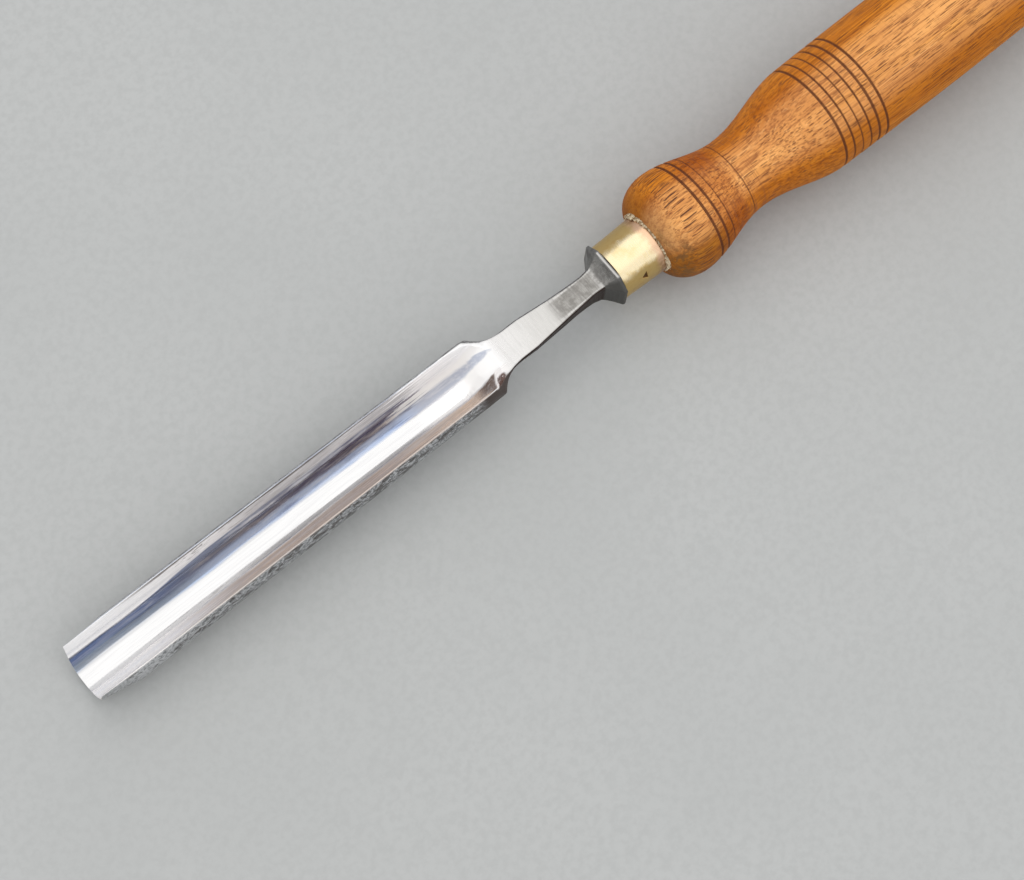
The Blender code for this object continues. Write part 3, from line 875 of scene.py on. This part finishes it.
def paint_lands(f):
    """The narrow lands beside the flute are darker than it, the left one nearly black along the middle of the
    blade.
    """
    right = f.blend(f.spread(f.x, 0.02, 0.06), (0.42, 0.41, 0.40), (0.58, 0.57, 0.55))
    f.paint(right, f.spread(f.across, 0.955, 0.985))
    left = f.spread(f.across, -0.955, -0.985)
    f.paint((0.12, 0.105, 0.098), left, f.between(f.x, (0.012, 0.040), (0.115, 0.125)))


def paint_neck(f):
    """Ground with a wheel, duller and cross scratched towards the bolster, cleaner along its edges."""
    late = f.spread(f.x, 0.1770, 0.1830)
    plain = f.blend(f.spread(f.x, 0.1600, 0.1760), (0.70, 0.69, 0.68), (0.60, 0.59, 0.57))
    dull = f.blend(f.spread(f.blot, 0.35, 0.65), (0.36, 0.35, 0.33), (0.24, 0.23, 0.215))
    plain = f.blend(late, plain, dull)
    edge = f.times(f.spread(f.size(f.mark("across")), 0.175, 0.215), late)
    clean = f.times(edge, f.spread(f.blot, 0.3, 0.6, 0.4, 0.9))
    plain = f.blend(clean, plain, (0.66, 0.65, 0.63))
    scratch = f.times(f.spread(f.cross, 0.46, 0.70, 0.0, 0.5), f.spread(late, 0.0, 1.0, 0.18, 1.0))
    plain = f.blend(scratch, plain, (0.19, 0.18, 0.17))
    f.paint(plain, f.neck)


def paint_outside(f):
    """Forged outside, mottled with scale and pits, cleaner near the edge and darkest at the shoulder."""
    # Dark brown in the right corner of the shoulder
    corner = f.times(f.spread(f.slant, 0.1556, 0.1563), f.spread(f.x, 0.1560, 0.1548))
    beside = f.spread(f.y, -0.0050, -0.0058)
    f.paint((0.10, 0.050, 0.040), corner, beside, f.spread(f.patches, 0.30, 0.50))
    early = f.spread(f.x, 0.010, 0.050, -0.06, 0.0)
    fine = f.spread(f.plus(f.mottle, early), 0.43, 0.54)
    scale = f.blend(fine, (0.48, 0.49, 0.50), (0.17, 0.175, 0.18))
    crust = f.blend(f.spread(f.mottle, 0.4, 0.6), (0.16, 0.155, 0.15), (0.05, 0.045, 0.045))
    scale = f.blend(f.spread(f.plus(f.patches, early), 0.50, 0.56), scale, crust)
    dark = f.times(f.spread(f.x, 0.1400, 0.1460), f.spread(f.y, 0.003, -0.003, 0.35, 1.0))
    scale = f.blend(f.times(dark, f.spread(f.clouds, 0.20, 0.42)), scale, (0.05, 0.035, 0.03))
    f.paint(scale, f.skin)


def paint_bolster(f):
    """One dull grey all round, with painted shade low on the right, and painted highlights on its fillet and on its
    rim near the top.
    """
    turn = f.turn()
    forged_grey_and_shade = f.blend(f.spread(f.blot, 0.35, 0.65), (0.25, 0.245, 0.235), (0.16, 0.155, 0.148))
    # Painted shade: darker down the right side
    forged_grey_and_shade = f.blend(f.spread(turn, -0.52, -0.70), forged_grey_and_shade, (0.115, 0.112, 0.105))
    f.paint(forged_grey_and_shade, f.bolster)
    # Painted highlights: a bright line along the fillet, and along the rim only near the top
    fillet = f.between(f.x, (FLARE_START - 0.0009, FLARE_START - 0.0003),
                       (FLARE_START + 0.0004, FLARE_START + 0.0010))
    fillet = f.times(fillet, f.spread(f.blot, 0.60, 0.40, 0.2, 0.8), f.spread(f.skin, 0.5, 0.2))
    rim = f.between(f.x, (RIM_START - 0.0001, RIM_START + 0.0001), (RIM_START + 0.0004, BOLSTER_BACK - 0.0002))
    rim = f.times(rim, f.spread(f.size(turn), 0.54, 0.46))
    f.paint((0.50, 0.49, 0.475), f.larger(fillet, rim))


def film_share(f):
    """Share of the metal's mirror that a thin film hides on the flute's walls and the shoulder, where the colours
    painted under it, painted reflections among them, show in its place.
    """
    x = f.x
    film = f.larger(
        f.times(f.spread(f.nearer, -0.18, -0.26), f.spread(x, 0.114, 0.128)),
        f.times(f.lower, f.spread(x, 0.030, 0.060, 0.0, 0.48)),
        f.left_wall,
        f.times(f.walls, 0.80),
        f.spread(x, 0.1420, 0.1480))
    return f.times(film, f.spread(x, 0.164, 0.154, 0.0, 0.93))


def steel_finish():
    f = Steel()
    paint_polish(f)
    paint_left_wall(f)
    paint_right_wall(f)
    paint_lands(f)
    paint_neck(f)
    paint_outside(f)
    paint_bolster(f)
    satin = f.times(f.neck, f.spread(f.cross, 0.3, 0.7, 0.14, 0.24))
    worn = f.larger(f.times(f.walls, 0.15), satin)
    rough = f.plus(f.spread(f.streak, 0.3, 0.75, 0.07, 0.15), worn, f.times(f.skin, 0.22))
    pitted = f.times(f.mottle, f.skin, f.spread(f.bolster, 0.0, 1.0, 1.0, 0.3))
    bumps = (f.bump(pitted, 0.00012, 0.8), f.bump(f.streak, 0.000004, 0.5))
    return f.give(rough, f.minus(1.0, film_share(f)), bumps)


def brass_finish():
    f = Finish("worn_brass")
    x = f.axis("X")
    # Zero on top; the painted highlight on top reaches further down the right side than the left
    turn = f.turn()
    angle = f.larger(turn, f.minus(f.times(turn, -1.0), 0.34))
    fine = f.noise((2200.0, 260.0, 260.0), detail=3.0)
    patch = f.noise((210.0, 210.0, 210.0), (2.0, 6.0, 1.0), rough=0.6)
    dust = f.noise((700.0, 900.0, 900.0), (5.0, 1.0, 1.0), rough=0.6)
    f.colour = f.blend(f.spread(patch, 0.38, 0.66), (0.92, 0.78, 0.51), (0.85, 0.69, 0.39))
    # Painted shade: darker and redder down the sides, beside the highlight on top
    side = f.spread(f.plus(angle, f.spread(patch, 0.2, 0.8, -0.14, 0.14)), 0.26, 0.56)
    f.paint((0.62, 0.435, 0.17), side)
    f.paint((0.58, 0.36, 0.12), side, f.spread(dust, 0.50, 0.68, 0.0, 0.45))
    # Coppery towards the wood
    ragged = f.plus(x, f.spread(patch, 0.2, 0.8, -0.0015, 0.0015))
    f.paint((0.82, 0.52, 0.34), f.spread(ragged, FERRULE_END - 0.0042, FERRULE_END - 0.0012), 0.85)
    # Dirt in the corner
    dirt = f.times(f.spread(angle, 0.45, 0.85), f.spread(x, FERRULE_END - 0.0050, FERRULE_END - 0.0012),
                   f.spread(dust, 0.36, 0.56, 0.3, 1.0))
    last = f.spread(x, FERRULE_END - 0.0009, FERRULE_END - 0.0002, 0.0, 0.7)
    f.paint((0.36, 0.19, 0.085), f.larger(dirt, last), 0.8)
    f.paint((0.13, 0.07, 0.03), f.spread(f.mark("dent"), 0.15, 0.7))
    rough = f.plus(f.spread(fine, 0.3, 0.7, 0.20, 0.30), f.times(side, 0.10))
    return f.give(rough, 1.0, (f.bump(fine, 0.000004, 0.5), f.bump(patch, 0.00010, 0.5)))


class Wood(Finish):
    """The varnished handle, with the filler at its front."""

    def __init__(self):
        super().__init__("varnished_wood")
        self.x = self.axis("X")
        self.y = self.axis("Y")
        self.angle = self.turn()
        self.fine = self.noise((60.0, 1900.0, 1900.0), (2.0, 2.0, 7.0), detail=3.0, rough=0.6, distortion=0.1)
        # The sides, from nearer the top on the left than on the right: painted shade along them, so that the band
        # over the top stays lighter as a painted highlight
        self.side = self.spread(self.size(self.plus(self.angle, 0.22)), 0.34, 0.80)


def paint_grain(f):
    """Long soft bands, then grain lines from broad to fine, all running along the handle."""
    bands = f.noise((11.0, 130.0, 130.0), (0.5, 2.0, 1.0), detail=3.0)
    zones = f.noise((22.0, 75.0, 75.0), (5.0, 2.0, 1.0), detail=3.0)
    lines = f.noise((20.0, 900.0, 900.0), rough=0.65, distortion=0.15)
    f.colour = f.blend(f.spread(bands, 0.38, 0.62), (0.85, 0.400, 0.125), (0.70, 0.300, 0.088))
    f.paint((0.46, 0.150, 0.038), f.spread(zones, 0.52, 0.72, 0.0, 0.45))
    f.paint((0.88, 0.380, 0.055), f.spread(zones, 0.44, 0.28, 0.0, 0.50))
    f.paint((0.30, 0.095, 0.034), f.spread(lines, 0.53, 0.61, 0.0, 0.34))
    f.paint((0.96, 0.54, 0.22), f.spread(lines, 0.45, 0.35, 0.0, 0.28))
    weaker_in_front = f.spread(f.x, 0.2195, 0.2240, 0.35, 1.0)
    f.paint((0.26, 0.080, 0.028), f.spread(f.fine, 0.520, 0.575, 0.0, 0.52), weaker_in_front)


def tint_wood(f):
    """Painted shade deeper along the sides; the bead redder behind its crest, with painted shade on its front, and
    darker low on its right.
    """
    # Painted shade along the sides, leaving the top lighter as a painted highlight
    f.paint((0.76, 0.54, 0.14), f.side, kind="MULTIPLY")
    behind = f.between(f.x, (0.2300, 0.2380), (0.2450, 0.2490))
    f.paint((0.80, 0.66, 0.50), behind, kind="MULTIPLY")
    # Painted shade on the front of the bead, which faces the ferrule
    f.paint((0.55, 0.58, 0.68), f.spread(f.x, 0.2262, 0.2165), kind="MULTIPLY")
    low_right = f.times(f.spread(f.y, -0.0090, -0.0150), f.spread(f.x, 0.2430, 0.2330, 0.25, 1.0))
    f.paint((0.66, 0.70, 0.90), low_right, kind="MULTIPLY")


def paint_pores(f):
    """Open pores: two sizes of short dark dashes. Returns their mask."""
    where = f.noise((60.0, 240.0, 240.0), (1.0, 8.0, 3.0), detail=3.0)
    large = f.times(f.spread(f.voronoi((90.0, 1000.0, 1000.0)), 0.27, 0.18), f.spread(where, 0.44, 0.56))
    small = f.times(f.spread(f.voronoi((170.0, 1700.0, 1700.0), (4.0, 1.0, 2.0)), 0.33, 0.23),
                    f.spread(where, 0.36, 0.48, 0.35, 0.80))
    pores = f.times(f.larger(large, small), f.spread(f.x, 0.2195, 0.2240, 0.25, 1.0))
    f.paint((0.13, 0.042, 0.020), pores, 0.70)
    return pores


def paint_bead_dashes(f):
    """A column of dashes, one above another, round the crest of the bead. Returns their mask."""
    radians_per_metre = 3450.0
    wander = f.noise((40.0, 260.0, 260.0), (2.0, 5.0, 2.0), detail=2.0)
    waves = f.times(f.angle, radians_per_metre * BEAD_DIAMETER / 2)
    waves = f.plus(waves, f.times(wander, 5.0))
    uneven = f.spread(f.noise((10.0, 900.0, 900.0), detail=1.0), 0.3, 0.7, -0.0011, 0.0011)
    crest = f.between(f.plus(f.x, uneven), (0.2242, 0.2248), (0.2290, 0.2298))
    dashes = f.times(f.spread(f.maths("SINE", waves, 0.0), 0.62, 0.90), crest)
    faint = f.spread(f.noise((60.0, 500.0, 500.0), detail=1.0), 0.36, 0.58, 0.15, 1.0)
    dashes = f.times(dashes, faint)
    f.paint((0.075, 0.030, 0.020), dashes, 0.85)
    return dashes


def paint_lathe_rings(f):
    """Fine rings left by the lathe between the bead's grooves and the waist."""
    lathe = f.noise((1700.0, 120.0, 120.0), detail=2.0)
    turned = f.times(f.spread(f.x, 0.2385, 0.2400), f.spread(f.x, 0.2640, 0.2490, 0.25, 1.0))
    f.paint((0.24, 0.075, 0.030), turned, f.spread(lathe, 0.50, 0.66, 0.0, 0.50))


def paint_dirt_and_dark_grooves(f):
    """Dirt on the front of the bead, mostly low on its right, and darker in the grooves, the more the deeper they
    are.
    """
    dirt = f.noise((420.0, 420.0, 420.0), (4.0, 4.0, 4.0), detail=5.0, rough=0.65)
    front = f.times(f.spread(f.x, 0.2275, 0.2200), f.spread(f.y, -0.0070, -0.0115))
    close = f.times(f.spread(f.x, 0.2195, 0.2180, 0.0, 0.6), f.spread(f.y, 0.002, -0.004))
    f.paint((0.14, 0.070, 0.026), f.larger(front, close), f.spread(dirt, 0.46, 0.56), 0.70)
    f.paint((0.115, 0.036, 0.016), f.spread(f.mark("groove"), 0.05, 0.60, 0.0, 0.88))


def wood_finish():
    f = Wood()
    paint_grain(f)
    tint_wood(f)
    pores = paint_pores(f)
    dashes = paint_bead_dashes(f)
    paint_lathe_rings(f)
    paint_dirt_and_dark_grooves(f)
    # Crumbling lime coloured filler round the ferrule's back edge
    crust = f.mark("crust")
    speck = f.noise((1100.0, 1100.0, 1100.0), rough=0.65)
    filler = f.blend(f.spread(speck, 0.42, 0.58), (0.70, 0.60, 0.43), (0.28, 0.19, 0.10))
    f.paint(filler, f.spread(crust, 0.30, 0.55))
    rough = f.plus(f.spread(f.fine, 0.3, 0.7, 0.36, 0.48), f.times(f.side, 0.16))
    rough = f.larger(rough, f.spread(crust, 0.2, 0.6, 0.0, 0.9))
    f.shader.inputs["Specular IOR Level"].default_value = 0.10
    whole = f.minus(1.0, f.larger(pores, dashes))
    crumbs = f.bump(f.times(speck, crust), 0.0004)
    return f.give(rough, 0.0, (f.bump(whole, 0.00012, 0.8), f.bump(f.fine, 0.00006, 0.6), crumbs))


def floor_finish():
    f = Finish("grey_board")
    grain = f.noise((900.0, 900.0, 900.0), detail=3.0)
    cloud = f.noise((9.0, 9.0, 9.0), detail=3.0)
    fleck = f.noise((420.0, 420.0, 420.0), rough=0.6)
    f.colour = f.blend(f.spread(cloud, 0.3, 0.7), (0.456, 0.467, 0.463), (0.432, 0.444, 0.440))
    f.paint((0.400, 0.410, 0.406), f.spread(fleck, 0.35, 0.70, 0.0, 0.6))
    return f.give(0.75, 0.0, (f.bump(grain, 0.00008, 0.35),))


def light_scene():
    """A light tent that runs along the tool: brightest overhead, darker low down at both sides."""
    world = bpy.data.worlds.new("light_tent")
    bpy.context.scene.world = world
    world.use_nodes = True
    nodes = Nodes(world.node_tree)

    def sideways(degrees):
        """Sideways part of a direction that leans so far to the left of straight up."""
        return math.sin(math.radians(degrees))

    way = nodes.add("ShaderNodeTexCoord")
    split = nodes.add("ShaderNodeSeparateXYZ")
    nodes.join(way.outputs["Generated"], split.inputs["Vector"])
    aside = split.outputs["Y"]
    left = nodes.spread(aside, sideways(47.0), sideways(38.0))
    ahead = nodes.spread(split.outputs["X"], -0.45, -0.70)
    raised = nodes.times(left, nodes.larger(nodes.spread(split.outputs["Z"], 0.02, 0.14), ahead))
    wide = nodes.times(raised, nodes.spread(aside, sideways(-76.0), sideways(-69.0)))
    over = nodes.times(raised, nodes.spread(aside, sideways(-38.0), sideways(-26.0)))
    low = nodes.blend(nodes.spread(aside, 0.2, 0.4), (0.36, 0.37, 0.42), (0.58, 0.59, 0.64))
    tent = nodes.blend(wide, low, (1.04, 1.04, 1.05))
    tent = nodes.blend(over, tent, (1.28, 1.27, 1.26))
    # The camera sees a plain pale backdrop beyond the floor
    path = nodes.add("ShaderNodeLightPath")
    seen = nodes.blend(path.outputs["Is Camera Ray"], tent, (0.52, 0.53, 0.53))
    nodes.join(seen, nodes.tree.nodes["Background"].inputs["Color"])


def place_camera():
    """The photograph's viewpoint, set out from the tool's own frame."""
    width_px = 1024.0
    focal_px = 3000.0
    sensor_mm = 36.0
    distance = 0.909
    # The camera leans towards the cutting edge and to the right, and is turned a little about its own axis
    slant = math.radians(12.3)
    tip_over = math.radians(12.0)
    turn = math.radians(-0.5)
    # The tool's way across the picture, the place on its axis abreast of the picture's middle, and how far
    # beside the axis that middle lies
    picture_right, picture_up = 0.7937, 0.6083
    middle_x = 0.1456
    middle_aside_px = -73.1
    toward = Vector((-math.sin(slant), -math.cos(slant) * math.sin(tip_over), math.cos(slant) * math.cos(tip_over)))
    ahead = Vector((math.cos(slant), -math.sin(slant) * math.sin(tip_over), math.sin(slant) * math.cos(tip_over)))
    aside = ahead.cross(toward)
    tool_way = math.cos(turn) * ahead - math.sin(turn) * aside
    cross_way = math.sin(turn) * ahead + math.cos(turn) * aside
    aim = Vector((middle_x, 0.0, 0.0)) - cross_way * middle_aside_px * distance / focal_px
    right = picture_right * tool_way + picture_up * cross_way
    up = picture_up * tool_way - picture_right * cross_way
    view = Matrix((
        (right.x, up.x, toward.x, 0.0),
        (right.y, up.y, toward.y, 0.0),
        (right.z, up.z, toward.z, 0.0),
        (0.0, 0.0, 0.0, 1.0),
    ))
    data = bpy.data.cameras.new("camera")
    data.sensor_fit = "HORIZONTAL"
    data.sensor_width = sensor_mm
    data.lens = sensor_mm * focal_px / width_px
    data.clip_start = 0.01
    data.clip_end = 50.0
    camera = add_object("camera", data)
    camera.matrix_world = TO_WORLD @ Matrix.Translation(aim + toward * distance) @ view
    bpy.context.scene.camera = camera


def add_floor():
    reach = 8
    corners = [(-reach, -reach, 0), (reach, -reach, 0), (reach, reach, 0), (-reach, reach, 0)]
    mesh = bpy.data.meshes.new("floor")
    mesh.from_pydata(corners, [], [(0, 1, 2, 3)])
    mesh.materials.append(floor_finish())
    floor = add_object("floor", mesh)


def main():
    place_camera()
    blade = build_blade()
    ferrule = build_ferrule()
    handle = build_handle()
    for piece, node, slot, finish in (
        (blade, "blade", "polished_steel", steel_finish()),
        (ferrule, "ferrule", "brass", brass_finish()),
        (handle, "handle", "varnished_wood", wood_finish()),
    ):
        piece.data.materials.append(finish)
        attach(piece, "root")
        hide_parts(node)
    add_floor()
    light_scene()
    bpy.context.scene.view_settings.view_transform = "Standard"


main()
